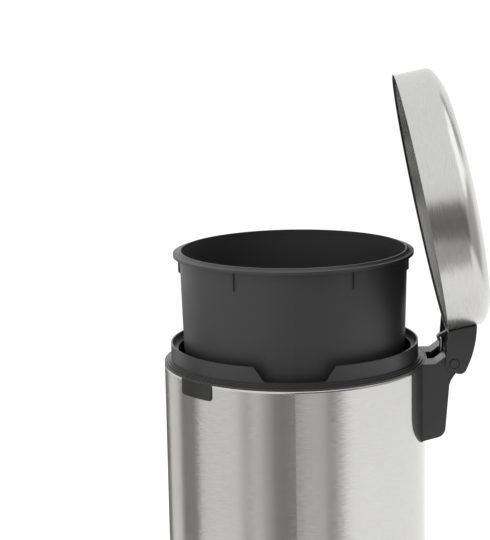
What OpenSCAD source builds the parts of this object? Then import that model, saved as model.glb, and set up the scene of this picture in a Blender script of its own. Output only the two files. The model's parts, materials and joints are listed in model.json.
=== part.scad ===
// Round pedal bin with a lift-out inner bucket, drawn with its lid open, pedal down and bucket raised.
// Millimetres. The origin is on the body's axis at floor level: +Z up, +Y to the hinge, the pedal on -Y.

/* [Body] */
// Outer diameter of the steel body
body_d = 250; // [225:1:290]
// Height of the steel body's top edge above the floor
body_h = 345; // [290:1:415]
// Thickness of the steel sheet of body and lid
sheet_t = 0.6; // [0.5:0.1:0.8]
// Height of the collar that stands inside the lid
collar_h = 20.1; // [16:0.1:24]
// Width of each finger notch at its bottom
notch_w = 55; // [40:1:66]

/* [Lid] */
// Height of the lid's straight skirt
skirt_h = 29.2; // [26:0.2:35]
// Radius of the lid's shoulder
shoulder_r = 9.8; // [7:0.2:12]
// Radius of the curve between the shoulder and the crown
crown_r = 45.4; // [36:0.2:56]
// Angle the lid is drawn open
open_deg = 78.54; // [60:0.01:80]

/* [Hinge] */
// Width of the hinge housing
hinge_w = 75; // [62:1:88]
// Distance of the hinge pin behind the steel body
pin_out = 24.7; // [23:0.1:28]
// Height of the hinge pin above the steel body's top edge
pin_up = 3.3; // [2:0.1:5]
// Distance from the hinge pin to the push rod's hole
lug_reach = 18.87; // [17:0.01:20]
// Diameter of the push rod
rod_d = 4; // [3:0.1:4.4]

/* [Bucket] */
// Height the bucket is drawn lifted above its seat
bucket_lift = 89.5; // [0:0.5:110]
// Draft of the bucket's wall
bucket_draft = 1.62; // [1:0.02:3]
// Thickness of the bucket's wall
bucket_t = 1.6; // [1.2:0.1:2.4]

/* [Pedal] */
// Width of the pedal pad
pedal_w = 64; // [50:1:80]
// Length the pedal stands out in front of the steel body
pedal_out = 35; // [30:1:50]
// Width of the steel lever
lever_w = 30; // [24:1:34]
// Angle the lever is drawn tilted, pedal down
pedal_deg = 5.2; // [3:0.1:6]
// Diameter of the pedal axle
axle_d = 6; // [5:0.1:7]

/* [Fits] */
// Radial clearance where a part turns on a pin
run_fit = 0.06; // [0.03:0.01:0.1]
// Clearance between fixed parts
part_gap = 0.1; // [0.05:0.01:0.2]
// Clearance between parts that move past each other
move_gap = 0.4; // [0.3:0.05:0.8]

/* [Hidden] */
$fn = 96;
// Small length that lets a cut pass fully through a face
eps = 0.5;
big = 2 * body_d;

// --- steel body and base
R = body_d / 2;
R_in = R - sheet_t;
S = body_h;
foot_h = 3;
flange_t = 3;
steel_z = foot_h + flange_t;
base_wall_h = 8;
base_wall_t = 1.2;
base_in_r = R - 15;
lever_slot_w = lever_w + 5;
lever_slot_z = 9;
pan_z = 46;
pan_t = 2.5;
pan_r = R - 4.2;
slot_corner = 3;
boss_r = 4;
screw_r = 1.5;
screw_head_r = 3;
screw_head_h = 1.6;
screw_free = 0.2;
screw_fit = 0.05;
base_screw_r = R - 10;
base_screw_l = 14;

// --- top ring, heights above the steel's edge
ring_skirt_r = R_in - 0.2;
ring_skirt_t = 2.2;
far_out = R + 20;
hole_from = R - 10;
hole_to = R + 5;
ring_skirt_h = 18;
ring_wall = 1.6;
collar_r = R - 6.4;
collar_in_r = R - 8.1;
step_w = (R - collar_r) / 3;
step_z = [2.2, 3.6, 5.0];
ledge_r = R - 13.4;
ledge_z = 14;
ledge_t = 2;
ledge_drop = 4.5;
ring_under = 1.2;
notch_z = 6.2;
notch_slope = 0.7;
notch_r = 5;

// --- name tab
tab_az = -46.8;
tab_w = 41.7;
tab_h = 14.7;
tab_t = 0.7;
tab_r = 3;

// --- hinge
pin_y = R + pin_out;
pin_z = S + pin_up;
pin_r = 2.5;
pin_len = 12;
pin_head_r = 3.9;
pin_head_h = 1.3;
recess_r = 5.1;
recess_h = 0.9;
hx = hinge_w / 2;
cheek_gap = 0.3;
cheek_t = 3;
cheek_in = hx + cheek_gap;
cheek_out = cheek_in + cheek_t;
boss_pin_r = 7;
hwall = 2.5;
house_r = R + 0.35;
house_top = 2.15;
belly_r = 10;
belly_z = -59.5;
pocket_w = 28;
pocket_y = R + 1.5;
pocket_back = pin_y - 6.7;
hscrew_az = 12.5;
hscrew_z = [-27, -58];
hboss_l = [21.5, 18.5];

// --- apron behind the housing
apron_w = 125;
apron_h = 75;
apron_corner = 34;
apron_out = R + 0.3;
apron_in = R_in - 0.1;
back_t = 2;
back_out = R_in - 0.2;
back_over = 5;
back_top = ring_skirt_h + 0.6;
rod_slot_w = 17;
rod_slot_top = -31;
rod_slot_low = -70;

// --- lid, heights above the lid's rim
rim_z = S + 3.6;
lid_r = R - 1;
shoulder_end = 57;
crown_end = 82.56;
proud = 0.004;
c1 = [lid_r - shoulder_r, skirt_h];
c2 = c1 - (crown_r - shoulder_r) * [cos(shoulder_end), sin(shoulder_end)];
dome_r = crown_r + c2.x / cos(crown_end);
c3 = [0, c2.y - (dome_r - crown_r) * sin(crown_end)];
trim_in = R - 2.3;
trim_z = 0.3;
trim_h = 2;
liner_z = 28;
liner_t = 1.6;
liner_wall_t = 1.8;
liner_wall_h = 4;
liner_top = max(liner_z + liner_wall_h - skirt_h, 0);
liner_fit = 0.05;
liner_r = lid_r - shoulder_r - liner_fit + sqrt(pow(shoulder_r - sheet_t, 2) - pow(liner_top, 2));
liner_step_r = 70;
liner_step_h = 1.2;
bumper_r = 3;
bumper_at = (collar_r + collar_in_r) / 2;
bumper_stem_r = 1.5;

// --- hinge arm, in the lid's closed position, measured from the hinge pin
arm_arc_c = [-52.2, -70.45];
arm_arc_r = 100.41;
arm_heel_c = [4.26, 4.29];
arm_heel_r = 6.74;
arm_eye_r = 8.1;
arm_wall = 2.5;
arm_low = 0.7;
arm_top = 27.9;
arm_front = -31.4;
arm_face_t = 2;
arm_proud = 0.05;
arm_skirt = 0.3;
arm_face_top = 24.9;
arm_foot = -(arm_eye_r - 0.08) * [0.2635, 0.9647];
lug_t = 6;
lug_deg = 198.8;
lug_tip_r = 3.6;
lug_hole = [lug_reach * cos(lug_deg), lug_reach * sin(lug_deg)];
lug_head_h = 20.6;
lug_ridge = [7, 20.2];
lug_back = [14, 16.5];
lug_neck = [1.4, 4];
lug_plate_t = 2;
lug_plate_low = 3;
arm_screw_az = 12.1;
arm_screw_w = 12;
lug_screw_w = [8, 16];
arm_screw_l = 9;
arm_hole_to = lid_r + arm_screw_l + 1;

// --- push rod, in the drawn (open) position
rod_r = rod_d / 2;
rod_x = 6.4;
hook_x = -7.4;
hook = [
    lug_hole.x * cos(open_deg) + lug_hole.y * sin(open_deg),
    -lug_hole.x * sin(open_deg) + lug_hole.y * cos(open_deg)
];
hook_y = pin_y + hook.x;
hook_z = pin_z + hook.y;
crank_top = S - 10;
crank_low = S - 70;
crank_in = 20.7;
foot_y = hook_y - crank_in;
clip_r = 3.6;
clip_l = 2;

// --- pedal lever, drawn flat and then tilted
axle_y = -8;
axle_z = 18.8;
axle_r = axle_d / 2;
web_up = 6.5;
web_t = 3;
ear_t = 3;
ear_r = 8.5;
bush_r = 5;
lug_in = 22;
lug_w = 4;
lug_half = 8;
bush_len = lug_in - 0.5;
axle_len = 30;
groove_x = 26.6;
groove_w = 1.2;
groove_r = 2.4;
clip_out = 5.5;
tine_in = 2.8;
tine_out = 7.2;
fork_end = R - 3;
fork_root = R - 20;
pad_t = 9;
pad_y = -R - 4.2;
pad_front = -R - pedal_out;
blade_end = pad_front + 5;
rivet_r = 2;
rivet_head_r = 3.6;
rivet_x = 9;
rivet_y = (pad_y + pad_front) / 2 - 1;
shoe_r = 4.2;
shoe_half = 7.5;
shoe_gap = 0.4;
foot_z = axle_z + (web_up + web_t / 2 + shoe_r + shoe_gap
    + (foot_y - axle_y) * sin(pedal_deg)) / cos(pedal_deg);
rod_below = 9;
bend_over = 0.06;

// --- bucket, heights below its rim
flange_r = R - 10.5;
flange_low = 5;
flange_high = 2.3;
flange_web = 1.5;
rim_r = R - 17;
rim_t = 1.2;
rim_step = 5.5;
seat_gap = 0.3;
wall_r = R - 16.4;
rim_seated = S + ledge_z + seat_gap + flange_low;
bucket_clear = 5.8;
bucket_h = rim_seated - pan_z - pan_t - bucket_clear;
floor_t = 2;
gusset_h = 21;
gusset_out = 1.6;
gusset_t = 1;
bucket_z = rim_seated + bucket_lift;

// ---------- helpers ----------
module tube(r_out, r_in, z0, z1) {
    translate([0, 0, z0]) difference() {
        cylinder(h = z1 - z0, r = r_out);
        translate([0, 0, -eps]) cylinder(h = z1 - z0 + 2 * eps, r = r_in);
    }
}

// A cylinder along X from x0 to x1
module cyl_x(r, x0, x1) {
    translate([x0, 0, 0]) rotate([0, 90, 0]) cylinder(h = x1 - x0, r = r);
}

// A cylinder pointing out from the axis at an azimuth, from radius r0 to r1
module cyl_out(r, r0, r1, az, z) {
    rotate([0, 0, az]) translate([r0, 0, z]) rotate([0, 90, 0]) cylinder(h = r1 - r0, r = r);
}

// A prism along X of a shape drawn in (y, z)
module side_prism(x0, x1) {
    translate([x0, 0, 0]) rotate([90, 0, 90]) linear_extrude(x1 - x0) children();
}

// A prism along Y of a shape drawn in (x, z)
module back_prism(y0, y1) {
    translate([0, y1, 0]) rotate([90, 0, 0]) linear_extrude(y1 - y0) children();
}

// A block given by its two corners
module block(a, b) {
    translate(a) cube(b - a);
}

// A round bar from one point to another
module bar(a, b, r) {
    d = b - a;
    len = norm(d);
    translate(a) rotate([0, acos(d.z / len), atan2(d.y, d.x)]) cylinder(h = len, r = r);
}

// Carries parts drawn with the lid closed to the drawn open position
module lid_pose() {
    translate([0, pin_y, pin_z]) rotate([-open_deg, 0, 0]) translate([0, -pin_y, -pin_z]) children();
}

// Carries parts drawn flat about the axle to the drawn tilt
module pedal_pose() {
    translate([0, axle_y, axle_z]) rotate([pedal_deg, 0, 0]) children();
}

// ---------- body ----------
module apron_outline(grow) {
    w = apron_w / 2 + grow;
    low = -apron_h - grow;
    r = apron_corner + grow;
    union() {
        translate([-w, low + r]) square([2 * w, -low - r + eps]);
        translate([-w + r, low]) square([2 * (w - r), -low]);
        translate([-w + r, low + r]) circle(r = r);
        translate([w - r, low + r]) circle(r = r);
    }
}

module lever_opening(z_low, z_high) {
    w = lever_slot_w / 2;
    c = slot_corner;
    union() {
        translate([-w, z_low + c]) square([2 * w, z_high - z_low - 2 * c]);
        translate([-w + c, z_low]) square([2 * (w - c), z_high - z_low]);
        for (x = [-w + c, w - c], z = [z_low + c, z_high - c]) translate([x, z]) circle(r = c);
    }
}

module body_shell() {
    color([0.78, 0.77, 0.75]) difference() {
        tube(R, R_in, steel_z, S);
        translate([0, 0, S]) back_prism(R / 2, far_out) apron_outline(part_gap);
        back_prism(-far_out, -R / 2) lever_opening(lever_slot_z, pan_z);
    }
}

module ring_shape() {
    polygon([
        [ring_skirt_r, -ring_skirt_h], [ring_skirt_r, 0], [R, 0], [R, step_z[0]],
        [R - step_w, step_z[0]], [R - step_w, step_z[1]],
        [R - 2 * step_w, step_z[1]], [R - 2 * step_w, step_z[2]],
        [collar_r, step_z[2]], [collar_r - 0.2, collar_h], [collar_in_r, collar_h],
        [collar_in_r, ledge_z], [ledge_r, ledge_z], [ledge_r, ledge_z - ledge_drop],
        [ledge_r + ring_wall, ledge_z - ledge_drop], [ledge_r + ring_wall, ledge_z - ledge_t],
        [collar_in_r, ledge_z - ledge_t], [collar_in_r, ring_under],
        [ring_skirt_r - ring_skirt_t, ring_under], [ring_skirt_r - ring_skirt_t, -ring_skirt_h]
    ]);
}

// The notch's outline in (y, z), with rounded lower corners
module notch_shape() {
    w = notch_w / 2;
    side = sqrt(1 + notch_slope * notch_slope);
    rise = collar_h - notch_z + eps;
    cx = w + notch_r * notch_slope - notch_r * side;
    tan_y = cx + notch_r / side;
    tan_z = notch_z + notch_r - notch_r * notch_slope / side;
    union() {
        polygon([
            [-cx, notch_z], [cx, notch_z], [tan_y, tan_z], [w + rise * notch_slope, notch_z + rise],
            [-w - rise * notch_slope, notch_z + rise], [-tan_y, tan_z]
        ]);
        for (y = [-cx, cx]) translate([y, notch_z + notch_r]) circle(r = notch_r + proud);
    }
}

module top_ring() {
    color([0.16, 0.16, 0.17]) translate([0, 0, S]) difference() {
        rotate_extrude() ring_shape();
        for (s = [-1, 1]) intersection() {
            side_prism(s > 0 ? R / 2 : -R, s > 0 ? R : -R / 2) notch_shape();
            translate([0, 0, step_z[2]]) cylinder(h = collar_h, r = collar_r + eps);
        }
    }
}

module label_tab() {
    color([0.1, 0.1, 0.1]) translate([0, 0, S]) intersection() {
        tube(R + part_gap + tab_t, R + part_gap, -tab_h - 1, 0);
        rotate([0, 0, tab_az]) translate([R / 2, 0, 0]) side_prism(0, R) union() {
            translate([-tab_w / 2, -tab_h + tab_r]) square([tab_w, tab_h]);
            translate([-tab_w / 2 + tab_r, -tab_h]) square([tab_w - 2 * tab_r, tab_h + tab_r]);
            for (s = [-1, 1]) translate([s * (tab_w / 2 - tab_r), -tab_h + tab_r]) circle(r = tab_r);
        }
    }
}

// ---------- hinge, fixed side ----------
module apron_slot() {
    w = rod_slot_w / 2;
    back_prism(R / 2, far_out) union() {
        translate([-w, rod_slot_low + w]) square([2 * w, rod_slot_top - rod_slot_low - 2 * w]);
        translate([0, rod_slot_low + w]) circle(r = w);
        translate([0, rod_slot_top - w]) circle(r = w);
    }
}

module hinge_apron() {
    color([0.2, 0.2, 0.21]) translate([0, 0, S]) difference() {
        union() {
            intersection() {
                tube(apron_out, apron_in, -apron_h, -part_gap);
                back_prism(R / 2, far_out) apron_outline(0);
            }
            intersection() {
                tube(back_out, back_out - back_t, -apron_h - back_over, -back_top);
                back_prism(R / 2, far_out) apron_outline(back_over);
            }
            intersection() {
                tube(apron_out - 0.3, back_out - 0.3, -apron_h, -back_top);
                back_prism(R / 2, far_out) apron_outline(-0.3);
            }
        }
        apron_slot();
        for (s = [-1, 1], z = hscrew_z)
            cyl_out(screw_r + screw_free, hole_from, hole_to, 90 + s * hscrew_az, z);
    }
}

// Side outline of the housing in (y, z), heights from the steel's edge
module housing_outline() {
    b = [R + 16.9 - belly_r, belly_z];
    union() {
        polygon([
            [R - 6, house_top], [R + 7, house_top], [R + 13.6, 7.3], [R + 17, 9.7], [pin_y, 9.7],
            [pin_y + 1, pin_up - 6.9], [pin_y + 1.5, pin_up - 10.2], [R + 22.1, -13],
            [R + 20.4, -17.6], [R + 16.9, belly_z], [R + 9.44, -69.18], [R - 6, -73.2]
        ]);
        translate([pin_y, pin_up]) circle(r = boss_pin_r);
        translate(b) circle(r = belly_r + proud);
    }
}

module housing_cavity() {
    b = [R + 16.9 - belly_r, belly_z];
    union() {
        polygon([
            [R - 6, house_top - hwall], [R + 7.8, house_top - hwall], [R + 13.6, 4.2], [R + 16.6, 5.2],
            [R + 18.2, -3.5], [R + 19.3, -12.6], [R + 17.9, -17.8], [R + 14.4, belly_z],
            [R + 8.8, -66.76], [R - 6, -70.64]
        ]);
        translate(b) circle(r = belly_r - hwall + proud);
    }
}

module hinge_housing() {
    color([0.2, 0.2, 0.21]) translate([0, 0, S]) difference() {
        union() {
            difference() {
                side_prism(-hx, hx) housing_outline();
                side_prism(-hx + hwall, hx - hwall) housing_cavity();
            }
            for (s = [-1, 1]) translate([0, pin_y, pin_up])
                cyl_x(boss_pin_r, s > 0 ? hx - pin_len : -hx, s > 0 ? hx : -hx + pin_len);
            for (s = [-1, 1]) {
                cyl_out(boss_r, R - 2, R + hboss_l[0], 90 + s * hscrew_az, hscrew_z[0]);
                cyl_out(boss_r, R - 2, R + hboss_l[1], 90 + s * hscrew_az, hscrew_z[1]);
            }
        }
        translate([0, 0, -2 * apron_h]) cylinder(h = 3 * apron_h, r = house_r);
        translate([-pocket_w / 2, pocket_y, -12]) cube([pocket_w, pocket_back - pocket_y, 40]);
        translate([0, pin_y, pin_up]) for (s = [-1, 1])
            cyl_x(pin_r + run_fit, s > 0 ? hx - pin_len : -hx - 1, s > 0 ? hx + 1 : -hx + pin_len);
        for (s = [-1, 1], z = hscrew_z)
            cyl_out(screw_r + screw_fit, R - 5, R + 10, 90 + s * hscrew_az, z);
    }
}

module housing_screws() {
    head = back_out - back_t - part_gap;
    color([0.6, 0.6, 0.6]) translate([0, 0, S]) for (s = [-1, 1], z = hscrew_z) union() {
        cyl_out(screw_head_r, head - 2, head, 90 + s * hscrew_az, z);
        cyl_out(screw_r, head - eps, R + 9, 90 + s * hscrew_az, z);
    }
}

module hinge_pins() {
    color([0.2, 0.2, 0.21]) translate([0, pin_y, pin_z]) for (m = [0, 1]) mirror([m, 0, 0]) union() {
        cyl_x(pin_r, hx - pin_len + 1, cheek_out - recess_h + part_gap + eps);
        cyl_x(pin_head_r, cheek_out - recess_h + part_gap, cheek_out - recess_h + part_gap + pin_head_h);
    }
}

// ---------- base ----------
module front_gap(z_low, r_low) {
    reach = far_out - r_low;
    translate([-lever_slot_w / 2, -far_out, z_low]) cube([lever_slot_w, reach, pan_z - z_low]);
}

module base_ring() {
    color([0.14, 0.14, 0.15]) difference() {
        union() {
            tube(R + part_gap + base_wall_t, base_in_r, foot_h, steel_z);
            tube(R + part_gap + base_wall_t, R + part_gap, steel_z - eps, steel_z + base_wall_h);
            tube(R_in - part_gap, R_in - part_gap - 1.8, steel_z - eps, steel_z + base_wall_h / 2);
        }
        front_gap(lever_slot_z, R / 2);
        for (az = [45:90:315]) rotate([0, 0, az]) translate([base_screw_r, 0, 0]) {
            cylinder(h = 3 * foot_h, r = screw_r + screw_free);
            cylinder(h = foot_h + screw_head_h + part_gap, r = screw_head_r + part_gap);
        }
    }
}

module base_pan() {
    rear = [9, R - 21];
    color([0.14, 0.14, 0.15]) difference() {
        union() {
            translate([0, 0, pan_z]) cylinder(h = pan_t, r = pan_r);
            tube(pan_r, pan_r - pan_t, steel_z, pan_z + eps);
            for (az = [45:90:315]) rotate([0, 0, az]) translate([base_screw_r, 0, steel_z])
                cylinder(h = pan_z - steel_z + eps, r = boss_r);
            for (s = [-1, 1]) {
                x = s > 0 ? lug_in : -lug_in - lug_w;
                translate([x, axle_y - lug_half, axle_z])
                    cube([lug_w, 2 * lug_half, pan_z - axle_z + eps]);
                translate([0, axle_y, axle_z]) cyl_x(lug_half, x, x + lug_w);
            }
        }
        front_gap(0, R / 2);
        translate([-rear[0], rear[1], 0]) cube([2 * rear[0], R, pan_z + 2 * pan_t]);
        translate([0, axle_y, axle_z]) cyl_x(axle_r + run_fit, -lug_in - 2 * lug_w, lug_in + 2 * lug_w);
        for (az = [45:90:315]) rotate([0, 0, az]) translate([base_screw_r, 0, 0])
            cylinder(h = steel_z + base_screw_l, r = screw_r + screw_fit);
    }
}

module foot_ring() {
    color([0.08, 0.08, 0.08]) tube(R + part_gap, R - 6, 0, foot_h);
}

module base_screws() {
    color([0.6, 0.6, 0.6]) for (az = [45:90:315])
        rotate([0, 0, az]) translate([base_screw_r, 0, foot_h]) union() {
            cylinder(h = screw_head_h, r = screw_head_r);
            cylinder(h = base_screw_l, r = screw_r);
        }
}

module pedal_axle() {
    color([0.7, 0.7, 0.7]) translate([0, axle_y, axle_z]) difference() {
        cyl_x(axle_r, -axle_len, axle_len);
        for (x = [-groove_x - groove_w, groove_x]) difference() {
            cyl_x(axle_r + 1, x, x + groove_w);
            cyl_x(groove_r, x - eps, x + groove_w + eps);
        }
    }
}

module axle_clips() {
    t = groove_w - 2 * part_gap;
    color([0.6, 0.6, 0.6]) translate([0, axle_y, axle_z]) for (m = [0, 1]) mirror([m, 0, 0])
        translate([groove_x + part_gap, 0, 0]) difference() {
            cyl_x(clip_out, 0, t);
            cyl_x(groove_r + part_gap / 2, -eps, t + eps);
            translate([-eps, -groove_r, -2 * clip_out]) cube([t + 2 * eps, 2 * groove_r, 2 * clip_out]);
        }
}

// ---------- lid ----------
// Half outline of the lid in (radius, height), drawn inward by t from the outer face
module lid_fill(t, z0) {
    wide = crown_end + 3;
    far = 2 * crown_r;
    sky = dome_r + crown_r;
    union() {
        translate([0, z0]) square([lid_r - t, skirt_h - z0]);
        translate(c1) circle(r = shoulder_r - t + 2 * proud);
        intersection() {
            translate(c2) circle(r = crown_r - t + proud);
            polygon([
                c2, c2 + far * [cos(shoulder_end), sin(shoulder_end)], c2 + far * [cos(wide), sin(wide)]
            ]);
            translate([0, z0]) square([lid_r, big]);
        }
        intersection() {
            translate(c3) circle(r = dome_r - t);
            polygon([c3, c3 + sky * [cos(crown_end), sin(crown_end)], c3 + [0, sky]]);
            translate([0, z0]) square([lid_r, big]);
        }
    }
}

module lid_screw_paths(r, r0, r1) {
    for (s = [-1, 1]) cyl_out(r, r0, r1, 90 + s * arm_screw_az, pin_z + arm_screw_w);
    for (w = lug_screw_w) cyl_out(r, r0, r1, 90, pin_z + w);
}

module lid_shell() {
    color([0.78, 0.77, 0.75]) lid_pose() difference() {
        translate([0, 0, rim_z]) rotate_extrude() difference() {
            lid_fill(0, 0);
            lid_fill(sheet_t, -eps);
        }
        lid_screw_paths(screw_r + screw_free, hole_from, hole_to);
    }
}

module lid_edge_trim() {
    color([0.1, 0.1, 0.1]) lid_pose()
        tube(lid_r - sheet_t - part_gap / 2, trim_in, rim_z + trim_z, rim_z + trim_z + trim_h);
}

module lid_liner() {
    color([0.15, 0.15, 0.16]) lid_pose() translate([0, 0, rim_z + liner_z]) difference() {
        union() {
            cylinder(h = liner_t, r = liner_r);
            tube(liner_r, liner_r - liner_wall_t, 0, liner_wall_h);
            tube(liner_step_r + liner_t, liner_step_r, 0, liner_t + liner_step_h);
        }
        for (az = [-150, -90, -30]) rotate([0, 0, az]) translate([bumper_at, 0, -eps])
            cylinder(h = 2 * liner_t + eps, r = bumper_stem_r + part_gap / 2);
    }
}

module lid_bumpers() {
    low = collar_h + S - rim_z + move_gap;
    color([0.05, 0.05, 0.05]) lid_pose() translate([0, 0, rim_z])
        for (az = [-150, -90, -30]) rotate([0, 0, az]) translate([bumper_at, 0, 0]) union() {
            translate([0, 0, low]) cylinder(h = liner_z - low - part_gap / 2, r = bumper_r);
            translate([0, 0, low]) cylinder(h = liner_z - low + liner_t + 1, r = bumper_stem_r);
            translate([0, 0, liner_z + liner_t + part_gap / 2]) cylinder(h = 1, r = bumper_stem_r + 0.6);
        }
}

// Side outline of the arm in (y, z) about the pin, lid closed, drawn inward by t along its back
module arm_back(t) {
    way = (arm_heel_c - arm_arc_c) / norm(arm_heel_c - arm_arc_c);
    union() {
        intersection() {
            translate(arm_arc_c) circle(r = arm_arc_r - t);
            polygon([[arm_front, arm_low], arm_foot, arm_heel_c, arm_heel_c + 3 * arm_heel_r * way,
                [arm_front, 2 * arm_top]]);
        }
        translate(arm_heel_c) circle(r = arm_heel_r - t + arm_proud);
    }
}

module arm_block() {
    union() {
        arm_back(0);
        circle(r = arm_eye_r);
    }
}

// The space between the cheeks: open below, with the back wall and the pin's boss left clear
module arm_hollow() {
    union() {
        arm_back(arm_wall);
        circle(r = arm_eye_r - 0.6);
        translate([arm_front - 1, -big]) square([big, big + arm_skirt]);
    }
}

module hinge_arm() {
    color([0.2, 0.2, 0.21]) lid_pose() difference() {
        union() {
            translate([0, pin_y, pin_z]) difference() {
                side_prism(-cheek_out, cheek_out) arm_block();
                side_prism(-cheek_in, cheek_in) arm_hollow();
            }
            intersection() {
                tube(lid_r + part_gap + arm_face_t, lid_r - 1, pin_z + arm_low, pin_z + arm_face_top);
                block([-cheek_in - 1, R / 2, S - R], [cheek_in + 1, far_out, S + R]);
            }
            for (s = [-1, 1])
                cyl_out(boss_r, lid_r - 3, lid_r + 11, 90 + s * arm_screw_az, pin_z + arm_screw_w);
        }
        translate([0, 0, rim_z - R]) cylinder(h = 2 * R, r = lid_r + part_gap);
        translate([0, pin_y, pin_z]) {
            cyl_x(pin_r + run_fit, -cheek_out - 1, cheek_out + 1);
            for (m = [0, 1]) mirror([m, 0, 0]) cyl_x(recess_r, cheek_out - recess_h, cheek_out + 1);
        }
        for (s = [-1, 1])
            cyl_out(screw_r + screw_fit, hole_from, arm_hole_to, 90 + s * arm_screw_az, pin_z + arm_screw_w);
        for (w = lug_screw_w) cyl_out(screw_r + screw_free, hole_from, hole_to, 90, pin_z + w);
    }
}

module lid_lever() {
    face = lid_r + part_gap + arm_face_t + part_gap - pin_y;
    color([0.08, 0.08, 0.08]) lid_pose() translate([0, pin_y, pin_z]) difference() {
        union() {
            side_prism(-lug_t / 2, lug_t / 2) union() {
                translate(lug_hole) circle(r = lug_tip_r);
                polygon([
                    lug_hole + [-lug_tip_r, 0], lug_hole + [lug_tip_r, 0],
                    [lug_hole.x + lug_tip_r, 0] + lug_neck,
                    [face, 0] + lug_back, [face, 0] + lug_ridge, [face, lug_head_h], [face, 0]
                ]);
            }
            side_prism(-boss_r - lug_plate_t, boss_r + lug_plate_t) translate([face, lug_plate_low])
                square([lug_plate_t, lug_head_h - lug_plate_low]);
        }
        translate([0, lug_hole.x, lug_hole.y]) cyl_x(rod_r + run_fit, -lug_t, lug_t);
        for (w = lug_screw_w) translate([0, -pin_y, -pin_z])
            cyl_out(screw_r + screw_fit, hole_from, arm_hole_to, 90, pin_z + w);
    }
}

module arm_screws() {
    head = lid_r - sheet_t - part_gap;
    color([0.6, 0.6, 0.6]) lid_pose() union() {
        lid_screw_paths(screw_head_r, head - 2, head);
        lid_screw_paths(screw_r, head - eps, lid_r + arm_screw_l);
    }
}

// ---------- push rod ----------
module push_rod() {
    a = [hook_x, hook_y, hook_z];
    b = [rod_x, hook_y, hook_z];
    c = [rod_x, hook_y, crank_top];
    d = [0, foot_y, crank_low];
    e = [0, foot_y, foot_z - rod_below];
    color([0.75, 0.75, 0.75]) union() {
        bar(a, b, rod_r);
        bar(c, b, rod_r);
        bar(d, c, rod_r);
        bar(e, d, rod_r);
        for (p = [b, c, d]) translate(p) sphere(r = rod_r + bend_over);
    }
}

module rod_clip() {
    color([0.08, 0.08, 0.08]) translate([0, hook_y, hook_z]) difference() {
        cyl_x(clip_r, -lug_t / 2 - move_gap - clip_l, -lug_t / 2 - move_gap);
        cyl_x(rod_r + 0.02, -big, 0);
    }
}

module rod_shoe() {
    color([0.12, 0.12, 0.12]) translate([0, foot_y, foot_z]) difference() {
        union() {
            cyl_x(shoe_r, -shoe_half, shoe_half);
            cylinder(h = shoe_r + 4, r = 4);
        }
        translate([0, 0, -2 * shoe_r]) cylinder(h = 6 * shoe_r, r = rod_r + 0.02);
    }
}

// ---------- pedal ----------
module lever_plan() {
    y0 = -axle_y;
    w = lever_w / 2;
    difference() {
        polygon([
            [-w, blade_end + y0], [w, blade_end + y0], [w, R / 2 + y0], [tine_out, R * 0.76 + y0],
            [tine_out, fork_end + y0], [-tine_out, fork_end + y0],
            [-tine_out, R * 0.76 + y0], [-w, R / 2 + y0]
        ]);
        translate([-tine_in, fork_root + y0 + tine_in]) square([2 * tine_in, R]);
        translate([0, fork_root + y0 + tine_in]) circle(r = tine_in);
        for (s = [-1, 1]) translate([s * rivet_x, rivet_y + y0]) circle(r = rivet_r + part_gap / 2);
    }
}

module pedal_lever() {
    color([0.65, 0.65, 0.65]) pedal_pose() difference() {
        union() {
            translate([0, 0, web_up - web_t / 2]) linear_extrude(web_t) lever_plan();
            for (s = [-1, 1]) {
                x = s > 0 ? lever_w / 2 - ear_t : -lever_w / 2;
                cyl_x_block(x);
            }
        }
        cyl_x(bush_r + part_gap / 2, -lever_w, lever_w);
    }
}

// One ear of the lever, hanging from the web round the bush
module cyl_x_block(x) {
    cyl_x(ear_r, x, x + ear_t);
    translate([x, -2 * ear_r, web_up - web_t - 1]) cube([ear_t, 4 * ear_r, web_t]);
    translate([x, -ear_r, 0]) cube([ear_t, 2 * ear_r, web_up]);
}

module lever_bush() {
    color([0.85, 0.85, 0.82]) pedal_pose() difference() {
        cyl_x(bush_r, -bush_len, bush_len);
        cyl_x(axle_r + run_fit, -big, big);
    }
}

module pedal_pad() {
    y0 = -axle_y;
    w = pedal_w / 2;
    r = 8;
    color([0.1, 0.1, 0.1]) pedal_pose() translate([0, y0, web_up]) difference() {
        union() {
            translate([0, 0, -pad_t / 2]) linear_extrude(pad_t) union() {
                translate([-w, pad_front + r]) square([pedal_w, pad_y - pad_front - r]);
                translate([-w + r, pad_front]) square([pedal_w - 2 * r, pad_y - pad_front]);
                for (s = [-1, 1]) translate([s * (w - r), pad_front + r]) circle(r = r);
            }
            for (i = [0:3]) translate([-w + r, pad_front + 5 + 7 * i, pad_t / 2 - eps])
                cube([pedal_w - 2 * r, 2, 1 + eps]);
        }
        translate([-lever_w / 2 - part_gap, blade_end - part_gap, -web_t / 2 - part_gap])
            cube([lever_w + 2 * part_gap, R, web_t + 2 * part_gap]);
        for (s = [-1, 1]) translate([s * rivet_x, rivet_y, 0]) {
            translate([0, 0, -pad_t]) cylinder(h = 3 * pad_t, r = rivet_r + part_gap / 2);
            translate([0, 0, pad_t / 2]) cylinder(h = pad_t, r = rivet_head_r + part_gap);
        }
    }
}

module pedal_rivets() {
    y0 = -axle_y;
    h = 1.2;
    color([0.7, 0.7, 0.7]) pedal_pose() for (s = [-1, 1])
        translate([s * rivet_x, rivet_y + y0, web_up]) union() {
            translate([0, 0, -pad_t / 2 - h - part_gap / 2])
                cylinder(h = pad_t + 2 * h + part_gap, r = rivet_r);
            translate([0, 0, pad_t / 2 + part_gap / 2]) cylinder(h = h, r = rivet_head_r);
            translate([0, 0, -pad_t / 2 - h - part_gap / 2]) cylinder(h = h, r = rivet_head_r);
        }
}

// ---------- bucket ----------
function wall_at(depth) = wall_r - depth * tan(bucket_draft);

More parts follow.
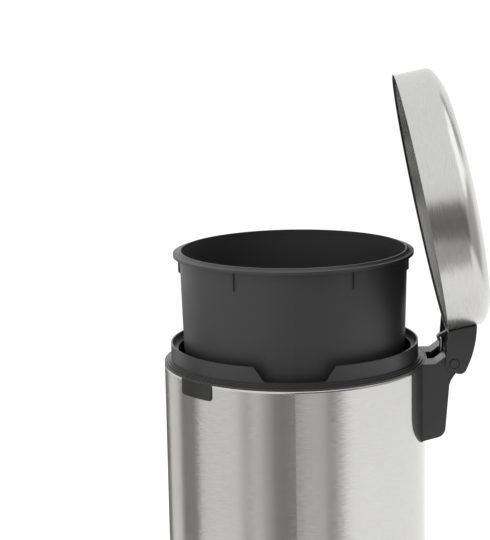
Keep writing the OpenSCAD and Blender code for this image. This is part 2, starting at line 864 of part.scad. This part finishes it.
module bucket_shape() {
    inner = rim_r - rim_t;
    polygon([
        [0, -bucket_h], [wall_at(bucket_h), -bucket_h],
        [wall_at(flange_low - flange_web), -flange_low + flange_web],
        [flange_r - flange_web, -flange_low + flange_web], [flange_r - flange_web, -flange_low],
        [flange_r, -flange_low], [flange_r, -flange_high], [rim_r + 3.4, -flange_high + 0.3],
        [rim_r + 1.2, -flange_high + 1.3], [rim_r, 0], [inner, 0], [inner, -rim_step],
        [wall_at(rim_step + 1) - bucket_t, -rim_step],
        [wall_at(bucket_h - floor_t) - bucket_t, -bucket_h + floor_t],
        [0, -bucket_h + floor_t]
    ]);
}

module bucket() {
    top = flange_low - flange_web;
    color([0.14, 0.14, 0.15]) translate([0, 0, bucket_z]) union() {
        rotate_extrude() bucket_shape();
        for (az = [30:60:330]) rotate([0, 0, az]) back_prism(-gusset_t / 2, gusset_t / 2) polygon([
            [wall_at(top) - 1, -top + eps], [wall_at(top) + gusset_out, -top + eps],
            [wall_at(top) + gusset_out, -top - gusset_h + 3], [wall_at(gusset_h + top) - 1, -top - gusset_h]
        ]);
    }
}

body_shell();
top_ring();
label_tab();
hinge_apron();
hinge_housing();
housing_screws();
hinge_pins();
base_ring();
base_pan();
foot_ring();
base_screws();
pedal_axle();
axle_clips();
lid_shell();
lid_edge_trim();
lid_liner();
hinge_arm();
lid_lever();
arm_screws();
lid_bumpers();
push_rod();
rod_clip();
rod_shoe();
pedal_lever();
pedal_pad();
pedal_rivets();
lever_bush();
bucket();
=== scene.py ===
"""Looks of a round steel pedal bin with its lid open and its inner bucket raised."""
import json
import math

import bpy
from mathutils import Matrix, Vector


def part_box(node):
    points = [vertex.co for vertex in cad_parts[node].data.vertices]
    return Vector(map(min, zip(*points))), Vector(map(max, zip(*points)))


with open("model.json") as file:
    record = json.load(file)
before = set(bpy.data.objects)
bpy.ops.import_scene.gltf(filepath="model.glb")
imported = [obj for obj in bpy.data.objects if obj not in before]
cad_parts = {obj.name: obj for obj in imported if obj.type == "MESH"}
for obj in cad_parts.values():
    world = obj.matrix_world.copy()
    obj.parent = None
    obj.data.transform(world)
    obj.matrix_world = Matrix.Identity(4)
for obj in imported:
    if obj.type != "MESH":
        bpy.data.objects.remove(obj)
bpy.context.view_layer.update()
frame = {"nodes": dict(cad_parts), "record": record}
nodes = frame["nodes"]
scene = bpy.context.scene

# The hinge pin and the lid's opening angle, as in the record
PIN = Vector((0.0, 0.1497, 0.3483))
LID_OPEN = math.radians(78.54)

# Brushed steel: its colour, texture scales along the strokes (X and Y) and across them (Z), and how
# far a stroke turns the normal
STEEL = (0.575, 0.572, 0.563)
STROKES = (45, 45, 600)
SCRATCHES = (7, 7, 420)
FRAY = 0.026
# The strip under the body's top edge that catches light as if rolled over, and how far it leans up
ROLLED = 0.0022
LEAN = 0.6
# Within this radius the lid's dome takes its facets' own normals
CROWN = 0.02
# Plastic: the depth of its mould grain, and the radius its edges seem rounded to
GRAIN_DEPTH = 0.00003
SOFT_EDGE = 0.0005

# The camera was fitted to the steel, the ring's steps, the lid and the hinge (mm, then metres)
SENSOR_HEIGHT = 36.0
LENS = 114.2
CAMERA_AT = (1.6071, 0, 0.7349)
CAMERA_FORWARD = (-0.9824, -0.0282, -0.1846)
CAMERA_RIGHT = (-0.0287, 0.9996, 0)
CAMERA_ROLL = math.radians(-1.120)

HALF_FLOOR = 60.0
WORLD_STRENGTH = 1.06
# Degrees of a card's arc in one facet, and how much warmer a black card is than a white one
CARD_FACET = 4
WARMTH = 0.08

# Low cards round the bin, whose reflections are the body's upright bands: name, azimuths, brightness
BODY_CARD_HEIGHTS = (0.002, 0.31)
BODY_CARDS = [
    ("far edge", -160, -134, 0.15),
    ("front light", -134, -109, 0.85),
    ("front dark", -109, -97, 0.22),
    ("front line", -97, -95, 0.5),
    ("front brown", -95, -84, 0.22),
    ("front wide", -84, -42.5, 0.88),
    ("left grey", -42.5, -34, 0.54),
    ("left light", -34, -25.5, 0.78),
    ("left middle", -25.5, -18, 0.5),
    ("camera dark", -18, -1, 0.25),
    ("camera edge", -1, 3, 0.44),
    ("camera middle", 3, 23.5, 0.66),
    ("right dark", 23.5, 31, 0.34),
    ("right middle", 31, 37.5, 0.66),
]
# Higher cards, for the lid's dark band, the bright strip on its shoulder and the dark line beside it
LID_CARDS = [
    ("lid band", -5, 48, (0.31, 0.55), 0.17),
    ("lid band side", 48, 110, (0.31, 0.58), 0.5),
    ("lid shoulder", 60, 108, (0.58, 1.1), 1.6),
    ("lid line", 112, 122, (0.6, 1.1), 0.15),
]


# ---------------------------------------------------------------- materials
def new_material(name, color, rough, metallic=0.0):
    """A principled material with its constant values set directly."""
    m = bpy.data.materials.new(name)
    m.use_nodes = True
    b = m.node_tree.nodes["Principled BSDF"]
    b.inputs["Base Color"].default_value = (*color, 1.0)
    b.inputs["Roughness"].default_value = rough
    b.inputs["Metallic"].default_value = metallic
    return m, b


def add(m, kind, **values):
    n = m.node_tree.nodes.new(kind)
    for k, v in values.items():
        setattr(n, k, v)
    return n


def link(m, a, b):
    m.node_tree.links.new(a, b)


def coords(m, scale=(1, 1, 1), location=(0, 0, 0), rotation=(0, 0, 0)):
    """Object coordinates, scaled after they are turned and moved."""
    tc = add(m, "ShaderNodeTexCoord")
    turn = add(m, "ShaderNodeMapping")
    turn.inputs["Location"].default_value = location
    turn.inputs["Rotation"].default_value = rotation
    grow = add(m, "ShaderNodeMapping")
    grow.inputs["Scale"].default_value = scale
    link(m, tc.outputs["Object"], turn.inputs["Vector"])
    link(m, turn.outputs["Vector"], grow.inputs["Vector"])
    return grow.outputs["Vector"]


def noise(m, vector, scale, detail=2.0, rough=0.5):
    n = add(m, "ShaderNodeTexNoise")
    n.inputs["Scale"].default_value = scale
    n.inputs["Detail"].default_value = detail
    n.inputs["Roughness"].default_value = rough
    link(m, vector, n.inputs["Vector"])
    return n.outputs["Fac"]


def span(m, value, low, high, from_low=0.3, from_high=0.7):
    """Maps from_low..from_high, where most of a noise lies, to low..high and no further."""
    r = add(m, "ShaderNodeMapRange")
    r.inputs["From Min"].default_value = from_low
    r.inputs["From Max"].default_value = from_high
    r.inputs["To Min"].default_value = low
    r.inputs["To Max"].default_value = high
    link(m, value, r.inputs["Value"])
    return r.outputs["Result"]


def tint(m, value, color, low, high):
    """The colour times low to high, as a noise goes."""
    mix = add(m, "ShaderNodeMix", data_type="RGBA")
    mix.inputs["A"].default_value = (*[c * low for c in color], 1.0)
    mix.inputs["B"].default_value = (*[c * high for c in color], 1.0)
    link(m, span(m, value, 0.0, 1.0), mix.inputs["Factor"])
    return mix.outputs["Result"]


def grained(m, value, strength):
    """Fine relief, over edges that catch the light as if rounded."""
    soft = add(m, "ShaderNodeBevel", samples=4)
    soft.inputs["Radius"].default_value = SOFT_EDGE
    n = add(m, "ShaderNodeBump")
    n.inputs["Strength"].default_value = strength
    n.inputs["Distance"].default_value = GRAIN_DEPTH
    link(m, soft.outputs["Normal"], n.inputs["Normal"])
    link(m, value, n.inputs["Height"])
    return n.outputs["Normal"]


def feed(m, value, socket):
    """Gives a socket a plain vector, or a link from another socket."""
    if isinstance(value, tuple):
        socket.default_value = value
    else:
        link(m, value, socket)


def vector_math(m, operation, *values):
    n = add(m, "ShaderNodeVectorMath", operation=operation)
    for socket, value in zip(n.inputs, values):
        feed(m, value, socket)
    return n.outputs["Vector"]


def scaled(m, vector, factor):
    n = add(m, "ShaderNodeVectorMath", operation="SCALE")
    feed(m, vector, n.inputs[0])
    link(m, factor, n.inputs["Scale"])
    return n.outputs["Vector"]


def crown_normal(m, surface, from_axis):
    """The facet's own normal close to the axis, where the dome's facets meet in a point."""
    reach = add(m, "ShaderNodeVectorMath", operation="LENGTH")
    link(m, from_axis, reach.inputs[0])
    choose = add(m, "ShaderNodeMix", data_type="VECTOR")
    near = span(m, reach.outputs["Value"], 1.0, 0.0, from_low=CROWN * 0.9, from_high=CROWN)
    link(m, near, choose.inputs["Factor"])
    link(m, surface.outputs["Normal"], choose.inputs["A"])
    link(m, surface.outputs["True Normal"], choose.inputs["B"])
    return choose.outputs["Result"]


def brushed(name, color, rough, axis=(0.0, 0.0, 1.0), loc=(0, 0, 0), rot=(0, 0, 0),
            stretch=0.0, top_edge=None, crown=False):
    """Sheet steel brushed round its axis: short fine strokes, a few scratches, faint cloudy wear."""
    m, b = new_material(name, color, rough, metallic=1.0)
    strokes = noise(m, coords(m, STROKES, loc, rot), scale=3.0, detail=3.0, rough=0.6)
    scratches = noise(m, coords(m, SCRATCHES, loc, rot), scale=3.0)
    cloud = noise(m, coords(m, (1, 1, 1), loc, rot), scale=9.0)
    link(m, tint(m, strokes, color, low=0.93, high=1.05), b.inputs["Base Color"])
    sheen = add(m, "ShaderNodeMath", operation="ADD")
    link(m, span(m, scratches, low=-0.02, high=0.02), sheen.inputs[0])
    link(m, span(m, cloud, low=rough - 0.02, high=rough + 0.02), sheen.inputs[1])
    link(m, sheen.outputs["Value"], b.inputs["Roughness"])

    # Each stroke turns the surface a little along the brushing, so a reflection's edge looks frayed
    surface = add(m, "ShaderNodeNewGeometry")
    flat = surface.outputs["Normal"]
    if crown:
        flat = crown_normal(m, surface, coords(m, (1, 1, 0), loc, rot))
    along = vector_math(m, "CROSS_PRODUCT", axis, flat)
    fray = span(m, strokes, low=-FRAY, high=FRAY)
    normal = vector_math(m, "ADD", flat, scaled(m, along, fray))
    if top_edge:
        place = add(m, "ShaderNodeSeparateXYZ")
        link(m, coords(m), place.inputs["Vector"])
        lean = span(m, place.outputs["Z"], 0.0, LEAN, from_low=top_edge - ROLLED, from_high=top_edge)
        normal = vector_math(m, "ADD", normal, scaled(m, axis, lean))
    link(m, vector_math(m, "NORMALIZE", normal), b.inputs["Normal"])
    if stretch:
        b.inputs["Anisotropic"].default_value = stretch
        link(m, along, b.inputs["Tangent"])
    return m


def moulded(name, color, rough, grain=0.25):
    """Matt plastic with a fine mould grain and slight sheen changes from handling."""
    m, b = new_material(name, color, rough)
    cloud = noise(m, coords(m), scale=14.0, detail=3.0)
    dots = noise(m, coords(m), scale=1800.0)
    link(m, tint(m, cloud, color, low=0.94, high=1.06), b.inputs["Base Color"])
    link(m, span(m, cloud, low=rough - 0.05, high=rough + 0.05), b.inputs["Roughness"])
    link(m, grained(m, dots, grain), b.inputs["Normal"])
    return m


def metal(name, color, rough, spread=0.05):
    """Plain metal whose colour and sheen vary a little."""
    m, b = new_material(name, color, rough, metallic=1.0)
    cloud = noise(m, coords(m), scale=60.0, detail=3.0)
    link(m, span(m, cloud, low=rough - spread, high=rough + spread), b.inputs["Roughness"])
    link(m, tint(m, cloud, color, low=0.93, high=1.05), b.inputs["Base Color"])
    return m


# The turn about the pin that shuts the open lid, and the open lid's own axis
shutting = Matrix.Rotation(LID_OPEN, 3, "X")
lid_axis = tuple(shutting.inverted() @ Vector((0.0, 0.0, 1.0)))
lid_shift = tuple(PIN - shutting @ PIN)
finishes = {
    "brushed_steel_body": brushed("Steel brushed", STEEL, 0.2, stretch=0.45,
                                  top_edge=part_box("body_shell")[1][2]),
    "brushed_steel_lid": brushed("Steel brushed lid", STEEL, 0.25, lid_axis, lid_shift,
                                 (LID_OPEN, 0, 0), crown=True),
    "black_plastic": moulded("Black moulding", (0.022, 0.022, 0.023), 0.4),
    "hinge_plastic": moulded("Hinge moulding", (0.026, 0.026, 0.027), 0.42),
    "bucket_plastic": moulded("Bucket moulding", (0.022, 0.022, 0.023), 0.48),
    "black_rubber": moulded("Rubber", (0.02, 0.02, 0.02), 0.7, grain=0.4),
    "label_black": moulded("Name tab", (0.008, 0.008, 0.008), 0.35, grain=0.1),
    "polished_steel": metal("Polished wire", (0.72, 0.72, 0.71), 0.1, spread=0.03),
    "zinc_steel": metal("Zinc-plated steel", (0.55, 0.55, 0.54), 0.3),
    "lever_steel": metal("Pressed lever", (0.5, 0.5, 0.49), 0.36),
    "white_nylon": moulded("Nylon", (0.7, 0.69, 0.66), 0.45),
}
slot_of = {s["node"]: s["material_slot"] for s in frame["record"]["subparts"]}
for name, obj in nodes.items():
    obj.data.materials.clear()
    obj.data.materials.append(finishes[slot_of[name]])


# ---------------------------------------------------------------- stage, light and camera
def placed(name, verts, faces, material):
    me = bpy.data.meshes.new(name)
    me.from_pydata(verts, [], faces)
    me.materials.append(material)
    ob = bpy.data.objects.new(name, me)
    scene.collection.objects.link(ob)
    return ob


def glowing(name, level):
    """An emission of one level, faintly warm where it is darker than white."""
    m = bpy.data.materials.new(name)
    m.use_nodes = True
    m.node_tree.nodes.clear()
    out = add(m, "ShaderNodeOutputMaterial")
    em = add(m, "ShaderNodeEmission")
    warm = WARMTH * max(1 - level, 0)
    em.inputs["Color"].default_value = (level, level * (1 - warm / 2), level * (1 - warm), 1.0)
    link(m, em.outputs["Emission"], out.inputs["Surface"])
    return m


def card(name, start, end, heights, level, distance=0.5):
    """A curved card between two azimuths (0 is +X, 90 is +Y), seen only in glossy reflections."""
    steps = max(2, round((end - start) / CARD_FACET))
    verts = []
    for i in range(steps + 1):
        a = math.radians(start + (end - start) * i / steps)
        verts += [(distance * math.cos(a), distance * math.sin(a), z) for z in heights]
    faces = [(2 * i, 2 * i + 2, 2 * i + 3, 2 * i + 1) for i in range(steps)]
    ob = placed(name, verts, faces, glowing(name, level))
    ob.visible_camera = False
    ob.visible_diffuse = False
    ob.visible_shadow = False


def floor():
    m, b = new_material("Pale floor", (0.97, 0.97, 0.97), 0.9)
    b.inputs["Specular IOR Level"].default_value = 0.0
    s = HALF_FLOOR
    ob = placed("Floor", [(-s, -s, 0), (s, -s, 0), (s, s, 0), (-s, s, 0)], [(0, 1, 2, 3)], m)


def softbox(name, at, target, side, watts):
    """A square light that the camera and reflections don't see."""
    data = bpy.data.lights.new(name, "AREA")
    data.shape = "RECTANGLE"
    data.size, data.size_y = side, side
    data.energy = watts
    ob = bpy.data.objects.new(name, data)
    ob.location = at
    ob.rotation_euler = (Vector(target) - Vector(at)).to_track_quat("-Z", "Y").to_euler()
    ob.visible_camera = False
    ob.visible_glossy = False
    scene.collection.objects.link(ob)


def camera():
    data = bpy.data.cameras.new("Camera")
    data.sensor_fit = "VERTICAL"
    data.sensor_height = SENSOR_HEIGHT
    data.lens = LENS
    forward = Vector(CAMERA_FORWARD).normalized()
    right = Vector(CAMERA_RIGHT).normalized()
    up = (-forward).cross(right)
    cos, sin = math.cos(CAMERA_ROLL), math.sin(CAMERA_ROLL)
    right, up = right * cos + up * sin, up * cos - right * sin
    basis = Matrix((right, up, -forward)).transposed().to_4x4()
    ob = bpy.data.objects.new("Camera", data)
    ob.matrix_world = Matrix.Translation(CAMERA_AT) @ basis
    scene.collection.objects.link(ob)
    return ob


floor()
world = bpy.data.worlds.new("Studio")
scene.world = world
world.use_nodes = True
world.node_tree.nodes["Background"].inputs["Color"].default_value = (1, 1, 1, 1)
world.node_tree.nodes["Background"].inputs["Strength"].default_value = WORLD_STRENGTH

for title, start, end, level in BODY_CARDS:
    card("Card " + title, start, end, BODY_CARD_HEIGHTS, level)
for title, start, end, heights, level in LID_CARDS:
    card("Card " + title, start, end, heights, level)
# A bright window low behind the bin: the upward faces and edges of the plastic catch it
card("Card back window", 165, 200, (0.5, 1.5), level=2.2, distance=5.0)
softbox("Top softbox", at=(0.4, -0.2, 2.4), target=(0, 0, 0.4), side=1.6, watts=14)

scene.camera = camera()
scene.view_settings.view_transform = "Standard"
